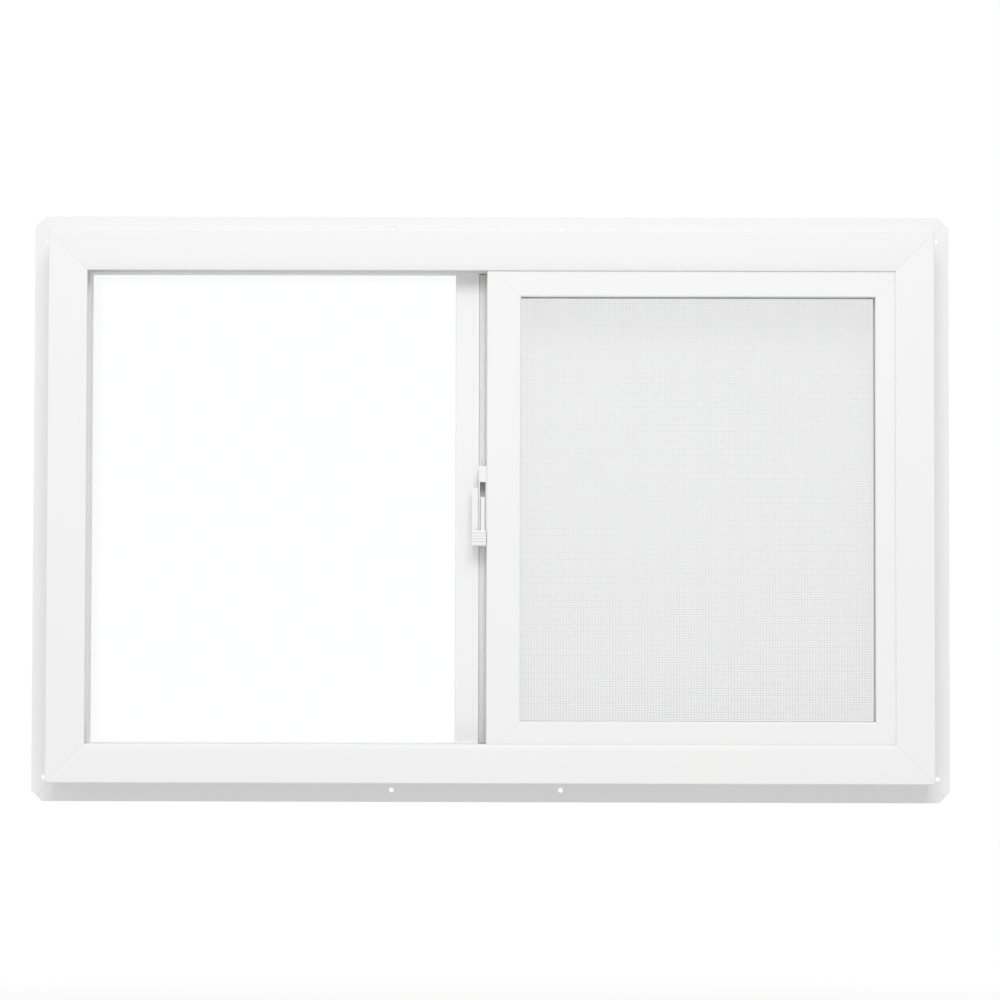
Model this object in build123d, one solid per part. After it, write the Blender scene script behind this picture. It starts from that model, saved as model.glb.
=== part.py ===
from build123d import *
import os

# Horizontal sliding window of extruded vinyl with an integral nailing fin.
# X runs to the right as seen from the room, Y runs from the room to outdoors, Z is up.
# The origin lies on the room side of the fin, at the middle of the bottom fin.
# All sizes are in millimetres.

# Outer frame
frame_width = 806.5
frame_height = 501.65
room_depth = 50.0
frame_wall = 1.8
frame_web = 1.2
face_flat = 29.0
face_bevel = 6.4
bevel_drop = 1.8
edge_radius = 1.2
track_floor = 22.0
guide_depth = 20.7
rebate_lip = 3.0
rebate_lip_wall = 1.8

# Nailing fin
fin_width = 19.0
fin_thickness = 1.8
fin_corner_cut = 10.0
nail_radius = 2.2
nail_line = 8.0
corner_nail_inset = 3.0
middle_nail_left = -91.0
middle_nail_right = 64.5

# Glass
pane_thickness = 3.0
glass_unit_depth = 12.7
glazing_gap = 0.3
setting_gap = 3.5
spacer_inset = 1.5
spacer_width = 6.0
spacer_wall = 0.6

# Glazing beads
bead_gap = 0.2
fixed_bead_depth = 9.7
fixed_bead_nose = 2.7
fixed_bead_slope = 8.0
fixed_bead_setback = 1.8
sash_bead_depth = 3.7
sash_bead_nose = 1.2
sash_bead_slope = 2.5

# Sash
sash_setback = 3.5
sash_rail_width = 31.0
sash_wall = 1.8
sash_lip = 3.0
sash_rebate = 13.0
sash_rebate_lip = 2.5
sash_reveal = 1.0
track_clearance = 0.8
jamb_clearance = 0.7
head_clearance = 6.2
sill_clearance = 3.4

# Fixed meeting mullion
mullion_left = -32.6
mullion_width = 38.6
mullion_wall = 1.8
mullion_land = 16.2
ridge_width = 5.4
ridge_rise = 0.4
pile_groove_width = 6.4
pile_groove_depth = 3.0

# Interlocking hooks of mullion and sash
hook_wall = 1.2
hook_back_gap = 0.9
hook_clearance = 0.5
hook_gap = 0.7
hook_reach = 10.6
hook_engagement = 5.0
hook_tip_gap = 4.3
hook_end_gap = 1.0

# Pile weatherstrips
pile_width = 4.6
pile_side_gap = 0.2
pile_depth = 1.6
pile_rise = 0.5
pile_inset = 4.0
pile_end_gap = 14.0

# Roller track on the sill
rail_base_width = 9.0
rail_base_thickness = 0.8
rail_height = 2.4
rail_width = 1.6
rail_end_gap = 1.0

# Rollers
roller_radius = 6.5
roller_width = 4.0
roller_bore = 1.5
roller_groove_depth = 1.5
roller_rail_gap = 0.3
axle_radius = 1.2
roller_end_distance = 70.0
housing_length = 34.0
housing_width = 9.0
housing_height = 13.0
housing_clearance = 0.3
roller_side_gap = 0.5

# Latch, with heights measured from the middle of the window
latch_width = 7.3
latch_setback = 3.0
latch_top = 37.4
latch_bottom = -35.4
latch_wall = 1.1
latch_gap = 0.3
pocket_top = 22.8
pocket_bottom = 9.3
pocket_depth = 17.0
slot_depth = 4.0
slider_side_gap = 0.6
slider_rise = 0.6
grip_top = -21.4
grip_width = 13.7
grip_rise = 5.5
groove_count = 4
groove_pitch = 2.6
groove_width = 1.2
groove_depth = 0.9
arm_width = 6.0
arm_setback = 6.0
arm_thickness = 8.0
arm_top = 17.4
arm_end_gap = 2.0
keeper_thickness = 1.5
keeper_height = 30.0

# Insect screen
screen_depth = 8.0
screen_rail_width = 19.0
screen_wall = 0.8
screen_side_gap = 0.6
screen_bottom_gap = 0.3
screen_top_gap = 1.6
screen_lip_gap = 0.3
spline_diameter = 3.0
spline_side_gap = 0.2
spline_inset = 2.8
spline_groove_depth = 4.5
screen_step = 2.6
mesh_thickness = 0.3
mesh_gap = 0.3
tab_width = 24.0
tab_height = 18.0
tab_thickness = 1.0
tab_overhang = 9.0
tab_end_distance = 90.0

# Weep slots through the outdoor wall of the sill
weep_length = 25.0
weep_height = 4.0
weep_end_distance = 110.0

# How far a cutter reaches past the face that it opens
cut_margin = 1.0

# Depths worked out from the sizes above, from the room to outdoors
room_face = -room_depth
sash_face = room_face + sash_setback
sash_depth = sash_lip + 2 * glazing_gap + glass_unit_depth + sash_bead_depth + bead_gap + sash_wall
sash_back = sash_face + sash_depth
lip_back = sash_face - track_clearance
guide_face = sash_back + track_clearance
mullion_face = sash_back + hook_back_gap + 2 * hook_wall + hook_clearance + hook_gap
ridge_face = mullion_face - ridge_rise
glass_stop = guide_face + guide_depth
rebate_end = glass_stop + 2 * glazing_gap + glass_unit_depth + fixed_bead_depth + bead_gap
outdoor_face = rebate_end + rebate_lip_wall
screen_far = rebate_end - screen_lip_gap

# Heights and sideways places worked out from the sizes above
frame_left = -frame_width / 2
frame_right = frame_width / 2
frame_bottom = fin_width / 2
frame_top = frame_bottom + frame_height
middle_height = (frame_bottom + frame_top) / 2
sight = face_flat + face_bevel
rebate_depth = sight - track_floor
clear_bottom = frame_bottom + sight
clear_top = frame_top - sight
channel_left = frame_left + track_floor
channel_right = frame_right - track_floor
channel_bottom = frame_bottom + track_floor
channel_top = frame_top - track_floor
mullion_right = mullion_left + mullion_width
mullion_rebate = mullion_left + rebate_depth
ridge_left = mullion_left + mullion_land
ridge_right = ridge_left + ridge_width
groove_right = ridge_right + pile_groove_width
sash_left = groove_right + sash_reveal
sash_right = channel_right - jamb_clearance
sash_bottom = channel_bottom + sill_clearance
sash_top = channel_top - head_clearance
sash_hook_tip = sash_left + hook_reach
mullion_hook_tip = sash_hook_tip - hook_engagement
mullion_hook_outer = sash_hook_tip + hook_tip_gap + hook_wall
hook_bottom = clear_bottom + hook_end_gap
hook_top = clear_top - hook_end_gap
rail_top = channel_bottom + rail_height
latch_left = sash_left - latch_width
latch_face = sash_face + latch_setback


def box_between(low, high):
    """A block between two opposite corners."""
    size = [b - a for a, b in zip(low, high)]
    centre = [(a + b) / 2 for a, b in zip(low, high)]
    return Pos(*centre) * Box(*size)


def section_box(left, right, near, far):
    """A rectangle of a section, from its distance inward and its depth."""
    return Pos((left + right) / 2, (near + far) / 2) * Rectangle(right - left, far - near)


def rounded(section, corners, radius):
    """The section with the named outline corners rounded."""
    chosen = []
    for corner in corners:
        target = Vector(corner[0], corner[1], 0)
        nearest = min(section.vertices(), key=lambda vertex: (Vector(*vertex) - target).length)
        chosen.append(nearest)
    return fillet(chosen, radius)


def upright(section, low, high):
    """A plan section carried from one height to another."""
    return extrude(Pos(0, 0, low) * section, high - low)


def mitred_bar(section, start, travel, inward, length, reach, flange=0.0, corner_cut=0.0):
    """One bar of a rectangular frame. The section's x is the distance inward and its y the depth."""
    begin = Vector(*start) - Vector(*travel) * flange
    placed = Plane(origin=begin, x_dir=inward, z_dir=travel) * section
    blank = extrude(placed, length + 2 * flange)
    outer_corners = [(-flange + corner_cut, -flange), (length + flange - corner_cut, -flange)]
    inner_corners = [(length - reach, reach), (reach, reach)]
    outline = outer_corners + inner_corners
    if corner_cut > 0:
        half_cut = flange - corner_cut / 2
        outline.insert(2, (length + half_cut, -half_cut))
        outline.append((-half_cut, -half_cut))
    template = Plane(origin=start, x_dir=travel, z_dir=(0, 1, 0)) * make_face(Polyline(*outline, close=True))
    return blank & extrude(template, amount=2 * (outdoor_face - room_face), both=True)


def mitred_frame(section, left, right, bottom, top, reach, flange=0.0, corner_cut=0.0):
    """Four mitred bars round a rectangle, by side."""
    width = right - left
    height = top - bottom
    runs = {
        "left": ((left, 0, bottom), (0, 0, 1), (1, 0, 0), height),
        "top": ((left, 0, top), (1, 0, 0), (0, 0, -1), width),
        "right": ((right, 0, top), (0, 0, -1), (-1, 0, 0), height),
        "bottom": ((right, 0, bottom), (-1, 0, 0), (0, 0, 1), width),
    }
    bars = {}
    for side, (start, travel, inward, length) in runs.items():
        bars[side] = mitred_bar(section, start, travel, inward, length, reach, flange, corner_cut)
    return bars


def frame_section():
    """Multi-chamber frame section: room lip, sash track, glazing rebate and nailing fin."""
    outline = make_face(
        Polyline(
            (0, room_face),
            (face_flat, room_face),
            (sight, room_face + bevel_drop),
            (sight, lip_back),
            (track_floor, lip_back),
            (track_floor, guide_face),
            (sight, guide_face),
            (sight, glass_stop),
            (track_floor, glass_stop),
            (track_floor, rebate_end),
            (track_floor + rebate_lip, rebate_end),
            (track_floor + rebate_lip, outdoor_face),
            (0, outdoor_face),
            close=True,
        )
    )
    outline = rounded(outline, [(0, room_face), (0, outdoor_face)], edge_radius)
    inner = track_floor - frame_wall
    guide_near = guide_face + frame_wall
    guide_far = glass_stop - frame_wall
    web_middle = track_floor / 2
    section = outline
    section -= section_box(frame_wall, inner, room_face + frame_wall, guide_face)
    section -= section_box(frame_wall, web_middle - frame_web / 2, guide_near, guide_far)
    section -= section_box(web_middle + frame_web / 2, inner, guide_near, guide_far)
    section -= section_box(inner + frame_web, sight - frame_wall, guide_near, guide_far)
    section -= section_box(frame_wall, inner, glass_stop, rebate_end)
    fin = section_box(-fin_width, frame_wall / 2, 0, fin_thickness)
    return section + fin


def nail_hole(x, z):
    """A round hole through the nailing fin."""
    return Pos(x, 0, z) * Rot(90, 0, 0) * Cylinder(nail_radius, 2 * (fin_thickness + cut_margin))


def weep_slots():
    """The two drain slots through the outdoor wall of the sill."""
    low = channel_bottom - frame_wall - weep_height
    slots = []
    for centre in [frame_left + weep_end_distance, frame_right - weep_end_distance]:
        near_corner = (centre - weep_length / 2, rebate_end - frame_wall, low)
        far_corner = (centre + weep_length / 2, outdoor_face + frame_wall, low + weep_height)
        slots.append(box_between(near_corner, far_corner))
    return slots


def frame_nodes():
    """The welded frame's four bars with their nail holes and weep slots."""
    bars = mitred_frame(
        frame_section(), frame_left, frame_right, frame_bottom, frame_top, sight, fin_width, fin_corner_cut
    )
    side_line = frame_right + nail_line
    for z in [frame_bottom + corner_nail_inset, frame_top - corner_nail_inset]:
        bars["left"] -= nail_hole(-side_line, z)
        bars["right"] -= nail_hole(side_line, z)
    for x in [middle_nail_left, middle_nail_right]:
        bars["bottom"] -= nail_hole(x, frame_bottom - nail_line)
        bars["top"] -= nail_hole(x, frame_top + nail_line)
    for slot in weep_slots():
        bars["bottom"] -= slot
    return {
        "frame_head": bars["top"],
        "frame_sill": bars["bottom"],
        "frame_left_jamb": bars["left"],
        "frame_right_jamb": bars["right"],
    }


def mullion_section():
    """Fixed meeting mullion in plan: x to the right, y to outdoors."""
    groove_floor = mullion_face + pile_groove_depth
    flange_face = mullion_face + mullion_wall
    outline = make_face(
        Polyline(
            (mullion_left, mullion_face),
            (ridge_left, mullion_face),
            (ridge_left, ridge_face),
            (ridge_right, ridge_face),
            (ridge_right, groove_floor),
            (groove_right, groove_floor),
            (groove_right, mullion_face),
            (mullion_hook_outer, mullion_face),
            (mullion_hook_outer, flange_face),
            (mullion_right, flange_face),
            (mullion_right, rebate_end),
            (mullion_right + rebate_lip, rebate_end),
            (mullion_right + rebate_lip, outdoor_face),
            (mullion_rebate - rebate_lip, outdoor_face),
            (mullion_rebate - rebate_lip, rebate_end),
            (mullion_rebate, rebate_end),
            (mullion_rebate, glass_stop),
            (mullion_left, glass_stop),
            close=True,
        )
    )
    outline = rounded(outline, [(mullion_left, mullion_face)], edge_radius)
    inner_left = mullion_left + mullion_wall
    inner_right = mullion_right - mullion_wall
    section = outline
    section -= section_box(inner_left, inner_right, groove_floor + mullion_wall, glass_stop - mullion_wall)
    section -= section_box(mullion_rebate + mullion_wall, inner_right, glass_stop, rebate_end)
    return section


def mullion_hook_section():
    """The mullion's hook, which opens towards the fixed lite."""
    arm_far = mullion_face - hook_gap - hook_wall - hook_clearance
    arm_near = arm_far - hook_wall
    leg = section_box(mullion_hook_outer - hook_wall, mullion_hook_outer, arm_near, mullion_face)
    return leg + section_box(mullion_hook_tip, mullion_hook_outer, arm_near, arm_far)


def sash_hook_section():
    """The sash's hook, which slides in under the mullion's hook."""
    arm_far = mullion_face - hook_gap
    leg = section_box(sash_left, sash_left + hook_wall, sash_back - hook_wall, arm_far)
    return leg + section_box(sash_left, sash_hook_tip, arm_far - hook_wall, arm_far)


def meeting_mullion():
    """The mullion between head and sill, notched round their glass stops and outdoor lips."""
    mullion = upright(mullion_section(), channel_bottom, channel_top)
    lip_bottom = channel_bottom + rebate_lip
    lip_top = channel_top - rebate_lip
    for near, far, low, high in [
        (room_face, glass_stop, channel_bottom, clear_bottom),
        (room_face, glass_stop, clear_top, channel_top),
        (rebate_end, outdoor_face, channel_bottom, lip_bottom),
        (rebate_end, outdoor_face, lip_top, channel_top),
    ]:
        mullion -= box_between((frame_left, near, low), (frame_right, far, high))
    return mullion + upright(mullion_hook_section(), hook_bottom, hook_top)


def mullion_pile():
    """Pile strip in the mullion's groove."""
    left = ridge_right + pile_side_gap
    right = groove_right - pile_side_gap
    near = mullion_face + pile_side_gap
    return upright(section_box(left, right, near, mullion_face + pile_groove_depth), hook_bottom, hook_top)


def spacer_ring(left, right, bottom, top, near, far):
    """The hollow metal spacer between the two panes of a glass unit."""
    tube = section_box(0, spacer_width, near, far)
    tube -= section_box(spacer_wall, spacer_width - spacer_wall, near + spacer_wall, far - spacer_wall)
    bars = mitred_frame(
        tube,
        left + spacer_inset,
        right - spacer_inset,
        bottom + spacer_inset,
        top - spacer_inset,
        spacer_width,
    )
    return bars["left"] + bars["top"] + bars["right"] + bars["bottom"]


def bead_section(width, near, depth, nose, slope):
    """Glazing bead with a sloped front, measured inward from the rebate floor."""
    far = near + depth
    return make_face(
        Polyline((0, near), (width, near), (width, near + nose), (width - slope, far), (0, far), close=True)
    )


def glazing_nodes(name, left, right, bottom, top, near, bead_width, bead_depth, bead_nose, bead_slope):
    """Two panes, their spacer and four beads, between the floors of a rebate."""
    glass_left = left + setting_gap
    glass_right = right - setting_gap
    glass_bottom = bottom + setting_gap
    glass_top = top - setting_gap
    inner_far = near + pane_thickness
    outer_near = near + glass_unit_depth - pane_thickness
    outer_far = near + glass_unit_depth
    nodes = {
        f"{name}_inner_pane": box_between(
            (glass_left, near, glass_bottom), (glass_right, inner_far, glass_top)
        ),
        f"{name}_outer_pane": box_between(
            (glass_left, outer_near, glass_bottom), (glass_right, outer_far, glass_top)
        ),
        f"{name}_glass_spacer": spacer_ring(
            glass_left, glass_right, glass_bottom, glass_top, inner_far, outer_near
        ),
    }
    section = bead_section(bead_width, outer_far + glazing_gap, bead_depth, bead_nose, bead_slope)
    beads = mitred_frame(
        section, left + bead_gap, right - bead_gap, bottom + bead_gap, top - bead_gap, bead_width
    )
    for side, bead in beads.items():
        nodes[f"{name}_bead_{side}"] = bead
    return nodes


def fixed_lite_nodes():
    """The glazing of the fixed half, between the left jamb and the mullion."""
    return glazing_nodes(
        "fixed",
        channel_left,
        mullion_rebate,
        channel_bottom,
        channel_top,
        glass_stop + glazing_gap,
        rebate_depth - bead_gap - fixed_bead_setback,
        fixed_bead_depth,
        fixed_bead_nose,
        fixed_bead_slope,
    )


def sash_section():
    """Sash rail section: hollow body, room lip and outdoor glazing rebate."""
    floor = sash_rail_width - sash_rebate
    lip_far = sash_face + sash_lip
    rebate_far = sash_back - sash_wall
    outline = make_face(
        Polyline(
            (0, sash_face),
            (sash_rail_width - edge_radius, sash_face),
            (sash_rail_width, sash_face + edge_radius),
            (sash_rail_width, lip_far),
            (floor, lip_far),
            (floor, rebate_far),
            (floor + sash_rebate_lip, rebate_far),
            (floor + sash_rebate_lip, sash_back),
            (0, sash_back),
            close=True,
        )
    )
    outline = rounded(outline, [(0, sash_face)], edge_radius)
    chamber_near = sash_face + sash_wall
    chamber_far = sash_back - pile_depth - sash_wall
    middle = floor / 2
    section = outline
    section -= section_box(sash_wall, middle - frame_web / 2, chamber_near, chamber_far)
    section -= section_box(middle + frame_web / 2, floor - sash_wall, chamber_near, chamber_far)
    section -= section_box(pile_inset, pile_inset + pile_width, sash_back - pile_depth, sash_back)
    return section


def roller_places():
    """Middles of the two rollers along the sash."""
    return [sash_left + roller_end_distance, sash_right - roller_end_distance]


def cut_roller_pockets(rail):
    """The bottom rail with the pockets for its roller housings."""
    middle_depth = (sash_face + sash_back) / 2
    half_length = housing_length / 2 + housing_clearance
    half_width = housing_width / 2 + housing_clearance
    high = sash_bottom + housing_height + housing_clearance
    for centre in roller_places():
        rail -= box_between(
            (centre - half_length, middle_depth - half_width, sash_bottom - cut_margin),
            (centre + half_length, middle_depth + half_width, high),
        )
    return rail


def sash_piles():
    """Pile strips in the grooves of the sash's back, at the head, the jamb and the sill."""
    left = pile_inset + pile_side_gap
    right = pile_inset + pile_width - pile_side_gap
    section = section_box(left, right, sash_back - pile_depth + pile_side_gap, sash_back + pile_rise)
    width = sash_right - sash_left - 2 * pile_end_gap
    height = sash_top - sash_bottom - 2 * pile_end_gap
    head = Plane(origin=(sash_left + pile_end_gap, 0, sash_top), x_dir=(0, 0, -1), z_dir=(1, 0, 0))
    jamb = Plane(origin=(sash_right, 0, sash_top - pile_end_gap), x_dir=(-1, 0, 0), z_dir=(0, 0, -1))
    sill = Plane(origin=(sash_right - pile_end_gap, 0, sash_bottom), x_dir=(0, 0, 1), z_dir=(-1, 0, 0))
    runs = [(head, width), (jamb, height), (sill, width)]
    return Compound([extrude(place * section, length) for place, length in runs])


def sash_nodes():
    """Rails, stiles, glazing and weatherstrips of the sliding sash."""
    bars = mitred_frame(sash_section(), sash_left, sash_right, sash_bottom, sash_top, sash_rail_width)
    hook = upright(sash_hook_section(), hook_bottom, hook_top)
    nodes = {
        "sash_top_rail": bars["top"],
        "sash_bottom_rail": cut_roller_pockets(bars["bottom"]),
        "sash_meeting_stile": bars["left"] + hook,
        "sash_end_stile": bars["right"],
        "sash_weatherstrips": sash_piles(),
    }
    floor = sash_rail_width - sash_rebate
    glazing = glazing_nodes(
        "sash",
        sash_left + floor,
        sash_right - floor,
        sash_bottom + floor,
        sash_top - floor,
        sash_face + sash_lip + glazing_gap,
        sash_rebate - bead_gap,
        sash_bead_depth,
        sash_bead_nose,
        sash_bead_slope,
    )
    return nodes | glazing


def roller_track():
    """Snap-in track on the sill, with the rail that the grooved rollers ride on."""
    middle_depth = (sash_face + sash_back) / 2
    left = channel_left + rail_end_gap
    right = channel_right - rail_end_gap
    base = box_between(
        (left, middle_depth - rail_base_width / 2, channel_bottom),
        (right, middle_depth + rail_base_width / 2, channel_bottom + rail_base_thickness),
    )
    rail = box_between(
        (left, middle_depth - rail_width / 2, channel_bottom),
        (right, middle_depth + rail_width / 2, rail_top),
    )
    rail = fillet(rail.edges().filter_by(Axis.X).group_by(Axis.Z)[-1], rail_width / 4)
    return base + rail


def roller_wheel():
    """Grooved wheel, revolved round its axle."""
    tread = roller_radius - roller_groove_depth
    groove_half = rail_width / 2 + roller_rail_gap
    half = roller_width / 2
    outline = Polyline(
        (roller_bore, -half),
        (roller_radius, -half),
        (roller_radius, -groove_half),
        (tread, -groove_half),
        (tread, groove_half),
        (roller_radius, groove_half),
        (roller_radius, half),
        (roller_bore, half),
        close=True,
    )
    return revolve(make_face(outline), Axis.Y)


def roller_nodes():
    """The sill's roller track, the roller housings with their axles, and the wheels."""
    middle_depth = (sash_face + sash_back) / 2
    wheel_height = rail_top + roller_rail_gap + roller_radius - roller_groove_depth
    slot_half = roller_radius + roller_side_gap
    slot_width = roller_width / 2 + roller_side_gap
    housings = []
    wheels = []
    for centre in roller_places():
        housing = box_between(
            (centre - housing_length / 2, middle_depth - housing_width / 2, sash_bottom),
            (centre + housing_length / 2, middle_depth + housing_width / 2, sash_bottom + housing_height),
        )
        housing -= box_between(
            (centre - slot_half, middle_depth - slot_width, sash_bottom - cut_margin),
            (centre + slot_half, middle_depth + slot_width, wheel_height + slot_half),
        )
        axle = Pos(centre, middle_depth, wheel_height)
        housings.append(housing + axle * Rot(90, 0, 0) * Cylinder(axle_radius, housing_width))
        wheels.append(axle * roller_wheel())
    return {
        "sill_roller_track": roller_track(),
        "sash_roller_housings": Compound(housings),
        "sash_rollers": Compound(wheels),
    }


def latch_case():
    """Slim latch case on the edge of the meeting stile, with a finger pocket and a slider slot."""
    low = middle_height + latch_bottom
    body = box_between((latch_left, latch_face, low), (sash_left, sash_back, middle_height + latch_top))
    body = fillet(body.edges().filter_by(Axis.X).group_by(Axis.Y)[0], edge_radius)
    inner_left = latch_left + latch_wall
    inner_right = sash_left - latch_wall
    pocket = box_between(
        (inner_left, latch_face - cut_margin, middle_height + pocket_bottom),
        (inner_right, latch_face + pocket_depth, middle_height + pocket_top),
    )
    slot = box_between(
        (inner_left, latch_face - cut_margin, low + latch_wall),
        (inner_right, latch_face + slot_depth, middle_height + pocket_bottom + cut_margin),
    )
    return body - pocket - slot


def latch_slider():
    """Slider strip with the grooved grip at its lower end."""
    inner_gap = latch_wall + slider_side_gap
    grip_low = middle_height + latch_bottom
    grip_high = middle_height + grip_top
    grip_face = latch_face - grip_rise
    strip_top = middle_height + pocket_bottom - latch_gap
    strip = box_between(
        (latch_left + inner_gap, latch_face - slider_rise, grip_low + latch_wall + latch_gap),
        (sash_left - inner_gap, latch_face + slot_depth - latch_gap, strip_top),
    )
    grip_left = sash_left - grip_width
    grip_right = sash_left - latch_gap
    grip = box_between((grip_left, grip_face, grip_low), (grip_right, latch_face - latch_gap, grip_high))
    grip = fillet(grip.edges().filter_by(Axis.X).group_by(Axis.Y)[0], edge_radius)
    first_groove = (grip_low + grip_high) / 2 - (groove_count - 1) * groove_pitch / 2
    for index in range(groove_count):
        middle = first_groove + index * groove_pitch
        grip -= box_between(
            (grip_left - cut_margin, grip_face - cut_margin, middle - groove_width / 2),
            (sash_left + cut_margin, grip_face + groove_depth, middle + groove_width / 2),
        )
    return strip + grip


def latch_arm():
    """Arm beside the case, which reaches over the mullion's ridge."""
    right = latch_left - latch_gap
    near = latch_face + arm_setback
    low = middle_height + latch_bottom + arm_end_gap
    body = box_between((right - arm_width, near, low), (right, near + arm_thickness, middle_height + arm_top))
    return fillet(body.edges().filter_by(Axis.X).group_by(Axis.Z)[-1], edge_radius)


def latch_keeper():
    """Keeper plate on the mullion's ridge behind the arm."""
    low = middle_height - keeper_height / 2
    near = ridge_face - keeper_thickness
    return box_between((ridge_left, near, low), (ridge_right, ridge_face, low + keeper_height))


def latch_nodes():
    """The slide latch and its keeper."""
    return {
        "latch_case": latch_case(),
        "latch_slider": latch_slider(),
        "latch_arm": latch_arm(),
        "latch_keeper": latch_keeper(),
    }


def screen_section():
    """Roll-formed screen rail with its spline groove on the outdoor side."""
    near = screen_far - screen_depth
    groove_end = screen_rail_width - spline_inset
    groove_start = groove_end - spline_diameter - 2 * spline_side_gap
    hollow_end = groove_start - screen_wall
    section = section_box(0, screen_rail_width, near, screen_far)
    section -= section_box(groove_start, groove_end, screen_far - spline_groove_depth, screen_far)
    section -= section_box(groove_end, screen_rail_width, screen_far - screen_step, screen_far)
    section -= section_box(screen_wall, hollow_end, near + screen_wall, screen_far - screen_wall)
    return section


def pull_tabs(left, right, inner_edge):
    """Two soft tabs on the bottom rail, by which the screen is lifted out."""
    tabs = []
    for centre in [left + tab_end_distance, right - tab_end_distance]:
        top = inner_edge + tab_overhang
        tab = box_between(
            (centre - tab_width / 2, screen_far, top - tab_height),
            (centre + tab_width / 2, screen_far + tab_thickness, top),
        )
        tabs.append(fillet(tab.edges().filter_by(Axis.Y).group_by(Axis.Z)[-1], tab_width / 4))
    return Compound(tabs)


def screen_nodes():
    """Rails, mesh, spline and pull tabs of the half screen."""
    left = mullion_right + screen_side_gap
    right = channel_right - screen_side_gap
    bottom = channel_bottom + screen_bottom_gap
    top = channel_top - screen_top_gap
    bars = mitred_frame(screen_section(), left, right, bottom, top, screen_rail_width)
    mesh_near = screen_far - screen_step + mesh_gap
    inset = screen_rail_width - spline_inset + mesh_gap
    mesh = box_between(
        (left + inset, mesh_near, bottom + inset), (right - inset, mesh_near + mesh_thickness, top - inset)
    )
    spline_middle = screen_rail_width - spline_inset - spline_side_gap - spline_diameter / 2
    spline_depth = screen_far - spline_groove_depth + spline_side_gap + spline_diameter / 2
    spline_section = Pos(spline_middle, spline_depth) * RegularPolygon(spline_diameter / 2, 8)
    spline = mitred_frame(spline_section, left, right, bottom, top, screen_rail_width)
    return {
        "screen_top_rail": bars["top"],
        "screen_bottom_rail": bars["bottom"],
        "screen_left_stile": bars["left"],
        "screen_right_stile": bars["right"],
        "screen_mesh": mesh,
        "screen_spline": Compound(list(spline.values())),
        "screen_pull_tabs": pull_tabs(left, right, bottom + screen_rail_width),
    }


def build_nodes():
    """Every piece by its node name."""
    nodes = frame_nodes()
    nodes["meeting_mullion"] = meeting_mullion()
    nodes["mullion_weatherstrip"] = mullion_pile()
    for group in [fixed_lite_nodes(), sash_nodes(), roller_nodes(), latch_nodes(), screen_nodes()]:
        nodes.update(group)
    return nodes


os.makedirs("parts", exist_ok=True)
for node_name, shape in build_nodes().items():
    export_step(shape, f"parts/{node_name}.step")
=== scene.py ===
import math

import bmesh
import bpy
import numpy as np
from mathutils import Matrix, Vector


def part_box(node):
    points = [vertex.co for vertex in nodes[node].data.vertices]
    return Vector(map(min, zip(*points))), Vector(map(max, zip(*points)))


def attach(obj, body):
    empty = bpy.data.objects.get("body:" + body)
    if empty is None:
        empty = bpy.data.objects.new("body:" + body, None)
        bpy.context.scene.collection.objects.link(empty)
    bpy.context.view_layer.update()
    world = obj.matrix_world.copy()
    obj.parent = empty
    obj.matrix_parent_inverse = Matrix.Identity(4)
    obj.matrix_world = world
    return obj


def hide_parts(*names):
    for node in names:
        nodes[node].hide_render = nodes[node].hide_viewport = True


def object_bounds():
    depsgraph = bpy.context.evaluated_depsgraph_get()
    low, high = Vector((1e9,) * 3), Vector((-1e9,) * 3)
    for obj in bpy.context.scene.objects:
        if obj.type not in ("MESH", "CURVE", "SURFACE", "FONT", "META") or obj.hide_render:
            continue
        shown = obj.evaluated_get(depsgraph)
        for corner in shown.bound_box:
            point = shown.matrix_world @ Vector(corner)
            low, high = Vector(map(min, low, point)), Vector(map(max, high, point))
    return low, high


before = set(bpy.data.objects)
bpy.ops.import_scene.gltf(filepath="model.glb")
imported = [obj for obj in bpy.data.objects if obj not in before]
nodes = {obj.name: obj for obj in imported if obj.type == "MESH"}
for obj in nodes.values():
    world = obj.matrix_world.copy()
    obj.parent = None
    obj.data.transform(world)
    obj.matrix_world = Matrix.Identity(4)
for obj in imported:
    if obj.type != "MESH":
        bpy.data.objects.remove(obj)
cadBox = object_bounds()
mm = 0.001
white = (1.0, 1.0, 1.0, 1.0)
print("frame loaded:", len(nodes), "nodes")


# Shader maths: a Value stands for one socket, so 1 - mask adds the Math node that works it out.

class Value:
    def __init__(self, shop, socket):
        self.shop = shop
        self.socket = socket

    def maths(self, operation, *others):
        sockets = dict(enumerate((self,) + others))
        return self.shop.make("ShaderNodeMath", {"operation": operation}, sockets)

    def __add__(self, other):
        return self.maths("ADD", other)

    def __radd__(self, other):
        return self + other

    def __sub__(self, other):
        return self.maths("SUBTRACT", other)

    def __rsub__(self, other):
        return self * -1 + other

    def __mul__(self, other):
        return self.maths("MULTIPLY", other)

    def __rmul__(self, other):
        return self * other

    def __truediv__(self, other):
        return self.maths("DIVIDE", other)

    def __pow__(self, other):
        return self.maths("POWER", other)

    def clamped(self):
        return self.maths("MAXIMUM", 0.0).maths("MINIMUM", 1.0)


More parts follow.
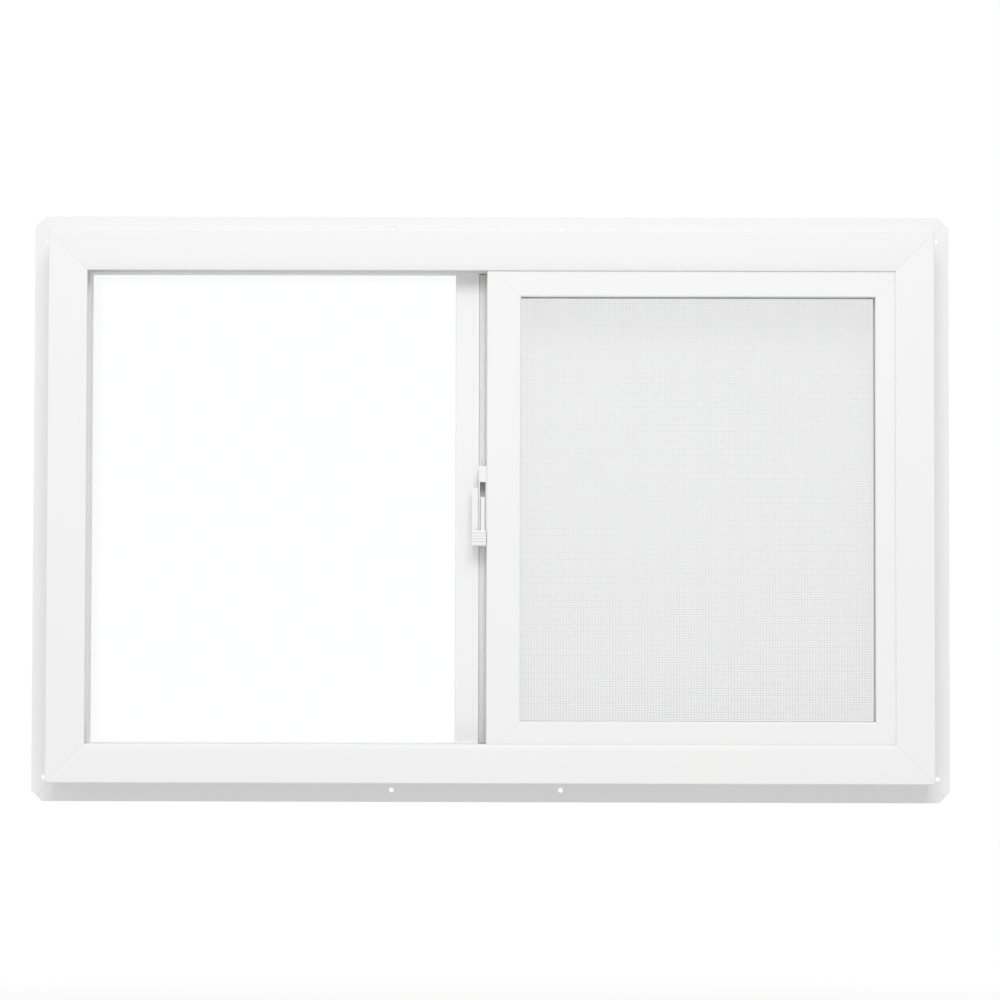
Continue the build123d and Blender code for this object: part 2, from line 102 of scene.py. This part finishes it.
class Shop:
    # one node tree, a material's or the world's, and the only way that nodes are added to it

    def __init__(self, owner):
        owner.use_nodes = True
        self.owner = owner
        self.tree = owner.node_tree
        self.tree.nodes.clear()

    def make(self, kind, settings=None, sockets=None, output=0):
        # settings come first, then a number, a colour or a link for each socket
        node = self.tree.nodes.new(kind)
        for name, setting in (settings or {}).items():
            setattr(node, name, setting)
        for name, value in (sockets or {}).items():
            if isinstance(value, Value):
                self.tree.links.new(value.socket, node.inputs[name])
            else:
                node.inputs[name].default_value = value
        return Value(self, node.outputs[output]) if node.outputs else node

    def several(self, made, names):
        # more outputs of the node that a value comes from
        return [Value(self, made.socket.node.outputs[name]) for name in names]

    def place(self):
        return self.make("ShaderNodeTexCoord", output="Object")

    def axes(self):
        # x, y and z of the object coordinates, in metres
        x = self.make("ShaderNodeSeparateXYZ", sockets={"Vector": self.place()})
        return self.several(x, "XYZ")

    def noise(self, scales, detail):
        # object coordinates in metres, times one scale for each axis
        sockets = {0: self.place(), 1: scales}
        place = self.make("ShaderNodeVectorMath", {"operation": "MULTIPLY"}, sockets)
        sockets = {"Vector": place, "Scale": 1.0, "Detail": detail, "Roughness": 0.5}
        return self.make("ShaderNodeTexNoise", {"noise_dimensions": "3D"}, sockets)

    def blend(self, factor, first, second):
        # a Mix node's two colours are its sockets 6 and 7, and the blended one is its output 2
        sockets = {0: factor, 6: first, 7: second}
        return self.make("ShaderNodeMix", {"data_type": "RGBA"}, sockets, output=2)

    def bump(self, height, distance, under=None):
        # under is a coarser bump that this one lies on
        sockets = {"Height": height, "Distance": distance, "Strength": 1.0}
        if under is not None:
            sockets["Normal"] = under
        return self.make("ShaderNodeBump", sockets=sockets)

    def seenRay(self):
        # 1 on a ray that the camera sees, straight, off a mirror or through glass, and 0 on any other
        names = ("Is Camera Ray", "Is Glossy Ray", "Is Transmission Ray")
        straight, mirrored, through = self.several(self.make("ShaderNodeLightPath"), names)
        return (straight + mirrored + through).clamped()

    def finishWith(self, surface):
        owner = "World" if isinstance(self.owner, bpy.types.World) else "Material"
        self.make("ShaderNodeOutput" + owner, sockets={"Surface": surface})


def startMaterial(name):
    material = bpy.data.materials.new(name)
    return material, Shop(material)


def evenly(scale):
    return (scale, scale, scale)


def lengthwise(along, alongScale, acrossScale):
    # scales of a noise that is drawn out along one axis
    return tuple(alongScale if axis == along else acrossScale for axis in "xyz")


def tinted(level, tint):
    return tuple(level * channel for channel in tint) + (1.0,)


def darkened(colour, share):
    return tuple(channel * (1 - share) for channel in colour[:3]) + (1.0,)


# Materials

vinylLook = {
    "levels": {"frame": 0.915, "sash": 0.925, "mullion": 0.935},
    "coolTint": (0.992, 0.994, 1.006),
    "warmTint": (1.004, 1.001, 0.993),
    "mottle": 0.012,          # how far the tone wanders along a bar
    "mottleScale": 7.0,
    "roughness": 0.5,
    "roughnessSpread": 0.10,
    "ior": 1.5,
    "dieLineScale": 420.0,
    "dieLineStretch": 1.6,    # the die lines' scale along the bar
    "dieLineDepth": 0.012 * mm,
    "grainScale": 2600.0,
    "grainDepth": 0.010 * mm,
}


def vinyl(name, bar, along):
    # extruded vinyl: faint die lines run along the bar, fine grain and a slow change of tone
    look = vinylLook
    level = look["levels"][bar]
    material, shop = startMaterial(name)
    slow = shop.noise(evenly(look["mottleScale"]), 3.0)
    dieLines = shop.noise(lengthwise(along, look["dieLineStretch"], look["dieLineScale"]), 1.0)
    grain = shop.noise(evenly(look["grainScale"]), 2.0)
    dark = tinted(level * (1 - look["mottle"]), look["coolTint"])
    light = tinted(level * (1 + look["mottle"] / 2), look["warmTint"])
    roughness = (slow + dieLines - 1) * look["roughnessSpread"] + look["roughness"]
    lines = shop.bump(dieLines, look["dieLineDepth"])
    surface = shop.make("ShaderNodeBsdfPrincipled", sockets={
        "Base Color": shop.blend(slow, dark, light),
        "Roughness": roughness.clamped(),
        "Normal": shop.bump(grain, look["grainDepth"], under=lines),
        "IOR": look["ior"],
    })
    shop.finishWith(surface)
    return material


plasticLook = {
    "toneScale": 40.0,
    "toneSpread": 0.03,
    "grainScale": 900.0,
    "grainDepth": 0.02 * mm,
    "roughnessSpread": 0.12,
}


def plainPlastic(name, colour, roughness):
    # moulded plastic or painted metal: fine grain in bump and tone
    look = plasticLook
    material, shop = startMaterial(name)
    grain = shop.noise(evenly(look["grainScale"]), 3.0)
    slow = shop.noise(evenly(look["toneScale"]), 2.0)
    surface = shop.make("ShaderNodeBsdfPrincipled", sockets={
        "Base Color": shop.blend(slow, darkened(colour, look["toneSpread"]), colour),
        "Roughness": (roughness + (grain - 0.5) * look["roughnessSpread"]).clamped(),
        "Normal": shop.bump(grain, look["grainDepth"]),
    })
    shop.finishWith(surface)
    return material


metalLook = {
    "metallic": 0.85,
    "lineScale": 1800.0,
    "lineStretch": 12.0,      # the lines' scale along the metal
    "lineDepth": 0.01 * mm,
    "toneSpread": 0.1,
    "roughnessSpread": 0.2,
}


def brightMetal(name, colour, roughness, along):
    # drawn aluminium with fine lines along its length
    look = metalLook
    material, shop = startMaterial(name)
    lines = shop.noise(lengthwise(along, look["lineStretch"], look["lineScale"]), 2.0)
    surface = shop.make("ShaderNodeBsdfPrincipled", sockets={
        "Base Color": shop.blend(lines, darkened(colour, look["toneSpread"]), colour),
        "Roughness": (roughness + (lines - 0.5) * look["roughnessSpread"]).clamped(),
        "Metallic": look["metallic"],
        "Normal": shop.bump(lines, look["lineDepth"]),
    })
    shop.finishWith(surface)
    return material


spacerLook = {
    "colour": (0.86, 0.86, 0.865, 1.0),
    # the pinholes' dark colour is painted shade
    "holeColour": (0.08, 0.08, 0.08, 1.0),
    "roughness": 0.4,
    "metallic": 0.4,
    "holePitch": 3.2 * mm,
    "holeRadius": 0.35 * mm,
    "rowGap": 3.0 * mm,       # between the two rows of holes
    "holeEdge": 1.5,          # a hole's tone ends at this many radii, and it is full up to one radius less
    "holeDepth": 0.05 * mm,
    "lineScales": (300.0, 1800.0, 300.0),
}


def holedSpacer(name, nodeName):
    # roll-formed spacer with pinholes half a pitch past each whole pitch of x + z, in a row on each side of
    # the middle; the pinholes are coloured dark as painted shade inside them
    look = spacerLook
    material, shop = startMaterial(name)
    x, y, z = shop.axes()
    along = ((x + z) / look["holePitch"]).maths("FRACT") - 0.5
    beside = (y - middleDepth(nodeName)).maths("ABSOLUTE") - look["rowGap"] / 2
    reach = ((along * look["holePitch"]) ** 2.0 + beside ** 2.0) ** 0.5
    hole = (look["holeEdge"] - reach / look["holeRadius"]).clamped()
    lines = shop.noise(look["lineScales"], 2.0)
    sheet = shop.blend(lines, darkened(look["colour"], metalLook["toneSpread"]), look["colour"])
    surface = shop.make("ShaderNodeBsdfPrincipled", sockets={
        # painted shade: the pinholes are coloured dark for the shade inside them
        "Base Color": shop.blend(hole, sheet, look["holeColour"]),
        "Roughness": (look["roughness"] + (lines - 0.5) * metalLook["roughnessSpread"]).clamped(),
        "Metallic": look["metallic"] - hole * look["metallic"],
        "Normal": shop.bump(lines - hole, look["holeDepth"]),
    })
    shop.finishWith(surface)
    return material


def middleDepth(nodeName):
    low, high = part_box(nodeName)
    return (low.y + high.y) / 2


glassLook = {
    "passed": (0.9985, 1.0, 0.9992, 1.0),
    "ior": 1.45,
    "mirrorShare": 0.5,       # of what the angle gives, because one surface stands for two
    "haze": 0.06,             # how far that share wanders over the pane
    "hazeScale": 9.0,
    "mirrorRoughness": 0.02,
}


def clearGlass(name):
    # float glass: mirrors by its angle, and what passes is barely tinted
    look = glassLook
    material, shop = startMaterial(name)
    haze = shop.noise(evenly(look["hazeScale"]), 4.0)
    through = shop.make("ShaderNodeBsdfTransparent", sockets={"Color": look["passed"]})
    glossy = {"Color": white, "Roughness": look["mirrorRoughness"]}
    mirror = shop.make("ShaderNodeBsdfGlossy", sockets=glossy)
    share = shop.make("ShaderNodeFresnel", sockets={"IOR": look["ior"]})
    factor = share * (look["mirrorShare"] + haze * look["haze"])
    shop.finishWith(shop.make("ShaderNodeMixShader", sockets={0: factor.clamped(), 1: through, 2: mirror}))
    return material


wireLook = {
    # the head and foot tones at left and right are painted shade: darker at the foot and towards the right
    "headLeft": (0.86, 0.86, 0.865, 1.0),
    "headRight": (0.77, 0.77, 0.775, 1.0),
    "footLeft": (0.60, 0.60, 0.60, 1.0),
    "footRight": (0.56, 0.56, 0.555, 1.0),
    "patches": 0.9,           # how unevenly the painted shade lies
    "patchScale": 14.0,
    "grainScale": 2200.0,
    "grainDepth": 0.008 * mm,
    "roughness": 0.45,
    "roughnessSpread": 0.15,
}


def meshWire(name):
    # coated wire, with painted shade that makes it darker towards the foot and the right of the sheet
    look = wireLook
    material, shop = startMaterial(name)
    low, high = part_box("screen_mesh")
    x, y, z = shop.axes()
    height = ((z - low.z) / (high.z - low.z)).clamped()
    across = ((x - low.x) / (high.x - low.x)).clamped()
    patches = shop.noise(evenly(look["patchScale"]), 3.0)
    grain = shop.noise(evenly(look["grainScale"]), 1.0)
    # painted shade: the wire's colour darkens towards the foot and the right, in uneven patches
    left = shop.blend(height, look["footLeft"], look["headLeft"])
    right = shop.blend(height, look["footRight"], look["headRight"])
    paintedShade = (across + (patches - 0.5) * look["patches"]).clamped()
    surface = shop.make("ShaderNodeBsdfPrincipled", sockets={
        "Base Color": shop.blend(paintedShade, left, right),
        "Roughness": (look["roughness"] + grain * look["roughnessSpread"]).clamped(),
        "Normal": shop.bump(grain, look["grainDepth"]),
    })
    shop.finishWith(surface)
    return material


finishes = {
    "frameAcross": vinyl("frame_vinyl_across", "frame", "x"),
    "frameUpright": vinyl("frame_vinyl_upright", "frame", "z"),
    "sashAcross": vinyl("sash_vinyl_across", "sash", "x"),
    "sashUpright": vinyl("sash_vinyl_upright", "sash", "z"),
    "mullion": vinyl("mullion_vinyl", "mullion", "z"),
    "latch": plainPlastic("latch_plastic", (0.925, 0.925, 0.925, 1.0), 0.35),
    "glass": clearGlass("clear_glass"),
    "fixedSpacer": holedSpacer("fixed_spacer_metal", "fixed_glass_spacer"),
    "sashSpacer": holedSpacer("sash_spacer_metal", "sash_glass_spacer"),
    "track": brightMetal("track_metal", (0.8, 0.8, 0.81, 1.0), 0.3, "x"),
    "housing": plainPlastic("housing_nylon", (0.74, 0.74, 0.72, 1.0), 0.5),
    "roller": plainPlastic("roller_nylon", (0.7, 0.69, 0.64, 1.0), 0.45),
    "screenPaint": plainPlastic("screen_paint", (0.89, 0.89, 0.89, 1.0), 0.4),
    "wire": meshWire("screen_wire"),
    "spline": plainPlastic("spline_vinyl", (0.22, 0.22, 0.23, 1.0), 0.6),
    "tab": plainPlastic("tab_plastic", (0.8, 0.8, 0.79, 1.0), 0.5),
    "pile": plainPlastic("pile_fibre", (0.95, 0.947, 0.93, 1.0), 0.9),
}
print("materials made:", len(finishes))


# CAD nodes with their edges eased

easing = {
    "radius": 0.25 * mm,
    "segments": 2,
    "edgeAngle": math.radians(30),
    "flatAngle": math.radians(0.5),     # faces that meet at less than this become one
    "mergeDistance": 0.001 * mm,
}


def addToRoot(piece, replaced):
    bpy.context.scene.collection.objects.link(piece)
    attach(piece, "root")
    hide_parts(replaced)


def finishOf(nodeName):
    if nodeName.startswith("screen_"):
        return finishes["screenPaint"]
    if nodeName.startswith("latch_"):
        return finishes["latch"]
    if nodeName == "meeting_mullion":
        return finishes["mullion"]
    part = "sash" if nodeName.startswith("sash_") else "frame"
    upright = nodeName.endswith(("_jamb", "_stile", "_left", "_right"))
    return finishes[part + ("Upright" if upright else "Across")]


def easedCopy(nodeName):
    # the node's own shape, merged into closed faces, with every sharp edge rounded a little
    mesh = nodes[nodeName].data.copy()
    work = bmesh.new()
    work.from_mesh(mesh)
    bmesh.ops.remove_doubles(work, verts=work.verts, dist=easing["mergeDistance"])
    bmesh.ops.dissolve_limit(work, angle_limit=easing["flatAngle"], verts=work.verts, edges=work.edges)
    work.to_mesh(mesh)
    work.free()
    mesh.materials.clear()
    mesh.materials.append(finishOf(nodeName))
    mesh.polygons.foreach_set("use_smooth", np.ones(len(mesh.polygons), bool))
    piece = bpy.data.objects.new(nodeName + "_eased", mesh)
    ease = piece.modifiers.new("ease", "BEVEL")
    ease.width = easing["radius"]
    ease.segments = easing["segments"]
    ease.limit_method = "ANGLE"
    ease.angle_limit = easing["edgeAngle"]
    ease.use_clamp_overlap = False
    normals = piece.modifiers.new("normals", "WEIGHTED_NORMAL")
    normals.keep_sharp = True
    addToRoot(piece, nodeName)


easedNodes = [
    name for name in nodes
    if name.startswith(("frame_", "latch_", "sash_bead", "fixed_bead", "meeting_mullion"))
    or name.endswith(("_rail", "_stile"))
]
for name in sorted(easedNodes):
    easedCopy(name)
print("eased pieces:", len(easedNodes))

# these keep their CAD shape
keptNodes = {
    "fixed_inner_pane": "glass",
    "fixed_outer_pane": "glass",
    "sash_inner_pane": "glass",
    "sash_outer_pane": "glass",
    "fixed_glass_spacer": "fixedSpacer",
    "sash_glass_spacer": "sashSpacer",
    "sill_roller_track": "track",
    "sash_roller_housings": "housing",
    "sash_rollers": "roller",
    "screen_pull_tabs": "tab",
}
for name, finish in keptNodes.items():
    for slot in nodes[name].material_slots:
        slot.material = finishes[finish]
print("kept CAD nodes:", len(keptNodes))


# New pieces: meshes from whole arrays

depthAxis = np.array((0.0, 1.0, 0.0))


def addPiece(name, points, faceSets, finish, replaced):
    # each face set is an array of faces that all have the same number of corners
    corners = np.concatenate([faces.ravel() for faces in faceSets]).astype(np.int32)
    sizes = np.concatenate([np.full(len(faces), faces.shape[1]) for faces in faceSets])
    mesh = bpy.data.meshes.new(name)
    mesh.vertices.add(len(points))
    mesh.vertices.foreach_set("co", np.ascontiguousarray(points, np.float32).ravel())
    mesh.loops.add(len(corners))
    mesh.loops.foreach_set("vertex_index", corners)
    mesh.polygons.add(len(sizes))
    mesh.polygons.foreach_set("loop_start", (np.cumsum(sizes) - sizes).astype(np.int32))
    mesh.polygons.foreach_set("use_smooth", np.ones(len(sizes), bool))
    mesh.update(calc_edges=True)
    mesh.validate()
    mesh.materials.append(finishes[finish])
    addToRoot(bpy.data.objects.new(name, mesh), replaced)


def tubeFaces(shape, joined=False):
    # quads round a grid of rings, tubes by rings by sides, and a lid on each end unless the tube joins
    # itself; they point outwards where side 0 lies along the cross product of the travel and the direction
    # of the side a quarter turn on
    index = np.arange(math.prod(shape)).reshape(shape)
    near, far = index, np.roll(index, -1, 1)
    if not joined:
        near, far = near[:, :-1], far[:, :-1]
    quads = np.stack([near, far, np.roll(far, -1, 2), np.roll(near, -1, 2)], -1).reshape(-1, 4)
    if joined:
        return [quads]
    return [quads, index[:, 0], index[:, -1, ::-1]]


def turnedOver(faceSets):
    return [faces[:, ::-1] for faces in faceSets]


def around(sides):
    return np.arange(sides) * 2 * math.pi / sides


# Insect mesh, wire by wire

meshLook = {
    "uprightPitch": 25.4 / 18 * mm,     # 18 wires an inch
    "levelPitch": 25.4 / 16 * mm,       # 16 wires an inch
    "wire": 0.25 * mm,
    "crimp": 0.25 * mm,       # how far a level wire swings to pass an upright one
    "uprightSides": 6,
    "levelSides": 4,
    "levelPieces": 3,
    "tuck": 1.7 * mm,         # how far the wires run on into the spline
}


def makeWires(name, places, rings, depths, sides, travel, across):
    # wire w passes ring r at travel * rings[r] + across * places[w], depths[w, r] behind the middle,
    # and its skin there is wire / 2 * (across * cos a + depth * sin a)
    radius = meshLook["wire"] / 2
    shape = (len(places), len(rings), sides)
    depth = middleDepth("screen_mesh") + depths[:, :, None] + radius * np.sin(around(sides))
    sideways = places[:, None, None] + radius * np.cos(around(sides))
    points = (
        np.broadcast_to(rings[None, :, None], shape)[..., None] * np.array(travel)
        + np.broadcast_to(sideways, shape)[..., None] * np.array(across)
        + np.broadcast_to(depth, shape)[..., None] * depthAxis
    )
    addPiece(name, points.reshape(-1, 3), tubeFaces(shape), "wire", "screen_mesh")


def makeInsectMesh():
    # straight upright wires, and level wires that pass in front of and behind them by turns
    look = meshLook
    low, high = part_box("screen_mesh")
    uprights = np.arange(low.x + look["uprightPitch"] / 2, high.x, look["uprightPitch"])
    levels = np.arange(low.z + look["levelPitch"] / 2, high.z, look["levelPitch"])
    ends = np.array([low.z - look["tuck"], high.z + look["tuck"]])
    flat = np.zeros((len(uprights), len(ends)))
    makeWires("screen_wires_upright", -uprights, ends, flat, look["uprightSides"], (0, 0, 1), (-1, 0, 0))
    rings = np.concatenate([[low.x - look["tuck"]], uprights, [high.x + look["tuck"]]])
    order = np.arange(len(levels))[:, None] + np.arange(len(rings))[None, :]
    swing = look["crimp"] * (1.0 - 2.0 * (order % 2))
    for part, chosen in enumerate(np.array_split(np.arange(len(levels)), look["levelPieces"])):
        name = f"screen_wires_level_{part + 1}"
        makeWires(name, levels[chosen], rings, swing[chosen], look["levelSides"], (1, 0, 0), (0, 0, 1))
    print("insect mesh:", len(uprights), "by", len(levels), "wires")


makeInsectMesh()


# Ribbed spline that holds the insect mesh in its groove

splineLook = {
    "cornerRadius": 3.0 * mm,
    "ribPitch": 1.1 * mm,
    "ribDepth": 0.09,         # share of the radius
    "sides": 8,
}


def roundedLoop(low, high, depth, radius, step):
    # points along a rectangle with round corners, and the way out of it at each: distance s runs over four
    # straights and four quarter circles
    width, height = high[0] - low[0] - 2 * radius, high[1] - low[1] - 2 * radius
    quarter = math.pi / 2 * radius
    lengths = np.array([width, quarter, height, quarter] * 2)
    ends = np.cumsum(lengths)
    count = int(round(ends[-1] / step))
    s = np.arange(count) * ends[-1] / count
    stretch = np.searchsorted(ends, s, side="right")
    along = s - (ends - lengths)[stretch]
    side = stretch // 2
    onCorner = stretch % 2 == 1
    turned = np.where(onCorner, along / radius, 0.0)[:, None]
    straight = np.where(onCorner, lengths[stretch - 1], along)[:, None]
    starts = np.array([
        [low[0] + radius, low[1]],
        [high[0], low[1] + radius],
        [high[0] - radius, high[1]],
        [low[0], high[1] - radius],
    ])
    heading = side * math.pi / 2
    forward = np.stack([np.cos(heading), np.sin(heading)], -1)
    inward = np.stack([-np.sin(heading), np.cos(heading)], -1)
    flat = starts[side] + forward * straight
    flat += forward * (radius * np.sin(turned)) + inward * (radius * (1 - np.cos(turned)))
    out = forward * np.sin(turned) - inward * np.cos(turned)
    place = np.stack([flat[:, 0], np.full(count, depth), flat[:, 1]], -1)
    outward = np.stack([out[:, 0], np.zeros(count), out[:, 1]], -1)
    return place, outward


def makeSpline():
    # two rings to a rib: ring i has radius R where i is even and R * (1 - ribDepth) where it is odd
    look = splineLook
    low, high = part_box("screen_spline")
    radius = (high.y - low.y) / 2
    foot = (low.x + radius, low.z + radius)
    head = (high.x - radius, high.z - radius)
    step = look["ribPitch"] / 2
    place, outward = roundedLoop(foot, head, middleDepth("screen_spline"), look["cornerRadius"], step)
    size = radius * (1 - look["ribDepth"] * (np.arange(len(place)) % 2))
    angles = around(look["sides"])[None, :, None]
    ring = outward[:, None, :] * np.cos(angles) + depthAxis * np.sin(angles)
    points = place[:, None, :] + ring * size[:, None, None]
    faceSets = turnedOver(tubeFaces((1, len(place), look["sides"]), joined=True))
    addPiece("screen_spline_ribbed", points.reshape(-1, 3), faceSets, "spline", "screen_spline")
    print("spline:", len(place), "rings")


makeSpline()


# Pile weatherstrips: a dense core with tufts of fibre on it

pileLook = {
    "nap": 0.4 * mm,          # how far the fibres stand out of the core
    "tuftPitch": 0.8 * mm,
    "tuftRadius": 0.44 * mm,
    "tuftSides": 4,
    "ringLevels": (-0.2, 0.6, 1.0),     # shares of the nap, from inside the core to the tip
    "ringWidths": (1.0, 0.85, 0.3),     # shares of the tuft's radius
    "scatter": 0.3,           # how far a tuft stands off its place, as a share of the pitch
    "lean": 0.5,              # how far a tip wanders, as a share of the nap
    "heightSpread": 0.35,
    "seed": 11,
    "sashStripWidth": 4.2 * mm,
    "sashStripInset": 4.2 * mm,         # from the sash's outer edge to a strip
    "sashEndGap": 14.0 * mm,            # from the sash's corner to a strip's end
}


def tuftRings(length, width, core, rng):
    # a tuft at (u, v) is a tube of rings whose axis leans by lean * (random, random) * level^2; what comes
    # back is how far each point lies along the strip, across it and up from its foot
    look = pileLook
    rows = max(2, int(width / look["tuftPitch"]))
    columns = int(length / look["tuftPitch"])
    u, v = np.meshgrid((np.arange(columns) + 0.5) / columns, (np.arange(rows) + 0.5) / rows, indexing="ij")
    count = u.size
    jitter = rng.uniform(-look["scatter"], look["scatter"], (2, count)) * look["tuftPitch"]
    tall = look["nap"] * (1 - look["heightSpread"] * rng.random(count))
    tips = rng.uniform(-1, 1, (2, count)) * look["lean"] * look["nap"]
    levels = np.array(look["ringLevels"])
    thick = look["tuftRadius"] * np.array(look["ringWidths"])[:, None]
    angles = around(look["tuftSides"])

    def spread(share, span, shift, tip, turn):
        # places in one direction: each foot, its leaning axis, and the rings round that, inside the strip
        inside = look["tuftRadius"], span - look["tuftRadius"]
        foot = np.clip(share.ravel() * span + shift, *inside)[:, None]
        axis = np.clip(foot + tip[:, None] * np.maximum(levels, 0) ** 2, *inside)
        return axis[..., None] + thick * turn

    along = spread(u, length, jitter[0], tips[0], np.cos(angles))
    across = spread(v, width, jitter[1], tips[1], np.sin(angles))
    rise = (core + tall[:, None] * levels)[..., None] + np.zeros(len(angles))
    return along, across, rise


# a unit box, with faces that point outwards where run, side and rise are right-handed
boxCorners = np.array([[i, j, k] for i in (0, 1) for j in (0, 1) for k in (0, 1)], float)
boxFaces = np.array([
    [0, 1, 3, 2],
    [4, 6, 7, 5],
    [0, 4, 5, 1],
    [2, 3, 7, 6],
    [0, 2, 6, 4],
    [1, 5, 7, 3],
])


def makePile(name, nodeName, strips):
    # each strip is (corner, run, side, rise): a core of run by side by rise - nap, with tufts on its top
    rng = np.random.default_rng(pileLook["seed"])
    allPoints, allFaces, count = [], [], 0
    for corner, run, side, rise in strips:
        corner, run, side, rise = (np.array(v, float) for v in (corner, run, side, rise))
        length, width, height = (float(np.linalg.norm(v)) for v in (run, side, rise))
        forward, sideways, up = run / length, side / width, rise / height
        core = height - pileLook["nap"]
        boxPoints = corner + boxCorners @ np.array([run, side, up * core])
        along, across, above = tuftRings(length, width, core, rng)
        tufts = corner + along[..., None] * forward + across[..., None] * sideways + above[..., None] * up
        coreFaces, tuftFaces = [boxFaces], tubeFaces(along.shape)
        if np.dot(np.cross(run, side), rise) < 0:
            coreFaces = turnedOver(coreFaces)
        else:
            tuftFaces = turnedOver(tuftFaces)
        allPoints += [boxPoints, tufts.reshape(-1, 3)]
        allFaces += [faces + count for faces in coreFaces]
        allFaces += [faces + count + len(boxPoints) for faces in tuftFaces]
        count += len(boxPoints) + along.size
    addPiece(name, np.concatenate(allPoints), allFaces, "pile", nodeName)
    print(name + ":", sum(len(faces) for faces in allFaces), "faces")


def makePiles():
    low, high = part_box("mullion_weatherstrip")
    makePile("mullion_pile_tufts", "mullion_weatherstrip", [(
        (low.x, high.y, low.z), (0, 0, high.z - low.z), (high.x - low.x, 0, 0), (0, low.y - high.y, 0),
    )])
    # head, sill and jamb strips of the sash, which stand out of its back
    low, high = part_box("sash_weatherstrips")
    width, inset, gap = (pileLook[key] for key in ("sashStripWidth", "sashStripInset", "sashEndGap"))
    level = (high.x + inset - gap - low.x, 0, 0)
    upright = (0, 0, high.z - low.z + 2 * (inset - gap))
    rise = (0, high.y - low.y, 0)
    makePile("sash_pile_tufts", "sash_weatherstrips", [
        ((low.x, low.y, high.z - width), level, (0, 0, width), rise),
        ((low.x, low.y, low.z), level, (0, 0, width), rise),
        ((high.x - width, low.y, low.z - inset + gap), upright, (width, 0, 0), rise),
    ])


makePiles()


# Floor, light and camera

stageLook = {
    "floorDrop": 0.6,
    "floorSize": 60.0,
    "floorPaint": (0.86, 0.86, 0.86, 1.0),
    "floorGlow": 0.25,
    "clearRadius": 2.2,       # past this the floor fades to plain white
    "ambient": 0.61,
    "lampSize": (1.6, 1.3),
    "lamps": {
        # name: watts, place
        "key": (46.3, (0.1, -3.2, 2.1)),
        "side": (5.2, (-2.4, -2.6, 1.4)),
    },
}


def makeFloor():
    # painted, with a little glow of its own to the camera, and white far from the object
    look = stageLook
    bpy.ops.mesh.primitive_plane_add(size=look["floorSize"], location=(0, 0, -look["floorDrop"]))
    floor = bpy.context.object
    floor.name = "floor"
    material, shop = startMaterial("pale_floor")
    x, y, z = shop.axes()
    far = (((x * x + y * y) ** 0.5 - look["clearRadius"]) / look["clearRadius"]).clamped()
    paint = shop.make("ShaderNodeBsdfDiffuse", sockets={"Color": look["floorPaint"]})
    glow = shop.make("ShaderNodeEmission", sockets={"Color": white, "Strength": look["floorGlow"]})
    plain = shop.make("ShaderNodeEmission", sockets={"Color": white, "Strength": 1.0})
    lit = shop.make("ShaderNodeAddShader", sockets={0: paint, 1: glow})
    shown = shop.make("ShaderNodeMixShader", sockets={0: far, 1: lit, 2: plain})
    shop.finishWith(shop.make("ShaderNodeMixShader", sockets={0: shop.seenRay(), 1: paint, 2: shown}))
    floor.data.materials.append(material)


def makeWorld():
    world = bpy.data.worlds.new("studio")
    bpy.context.scene.world = world
    shop = Shop(world)
    soft = shop.make("ShaderNodeBackground", sockets={"Color": white, "Strength": stageLook["ambient"]})
    plain = shop.make("ShaderNodeBackground", sockets={"Color": white, "Strength": 1.0})
    shop.finishWith(shop.make("ShaderNodeMixShader", sockets={0: shop.seenRay(), 1: soft, 2: plain}))


def makeLamps():
    low, high = cadBox
    aim = (Vector(low) + Vector(high)) / 2
    for name, (watts, place) in stageLook["lamps"].items():
        lamp = bpy.data.lights.new(name, "AREA")
        lamp.shape = "RECTANGLE"
        lamp.size, lamp.size_y = stageLook["lampSize"]
        lamp.energy = watts
        softbox = bpy.data.objects.new(name, lamp)
        softbox.location = place
        softbox.rotation_euler = (aim - softbox.location).to_track_quat("-Z", "Y").to_euler()
        bpy.context.scene.collection.objects.link(softbox)


cameraLook = {
    "place": (0.0214, -3.1393, 0.1403),
    "turn": -0.239,           # degrees towards +X
    "tilt": 2.338,            # degrees up
    "roll": 0.138,
    "lens": 122.64,
    "sensor": 36.0,
}


def makeCamera():
    data = bpy.data.cameras.new("camera")
    data.lens = cameraLook["lens"]
    data.sensor_width = cameraLook["sensor"]
    data.dof.use_dof = False
    camera = bpy.data.objects.new("camera", data)
    turn = Matrix.Rotation(math.radians(-cameraLook["turn"]), 4, "Z")
    tilt = Matrix.Rotation(math.radians(90 + cameraLook["tilt"]), 4, "X")
    roll = Matrix.Rotation(math.radians(cameraLook["roll"]), 4, "Z")
    camera.matrix_world = Matrix.Translation(cameraLook["place"]) @ turn @ tilt @ roll
    bpy.context.scene.collection.objects.link(camera)
    bpy.context.scene.camera = camera
    print("camera in place")


makeFloor()
makeWorld()
makeLamps()
print("floor and lamps in place")
makeCamera()
bpy.context.scene.view_settings.view_transform = "Standard"
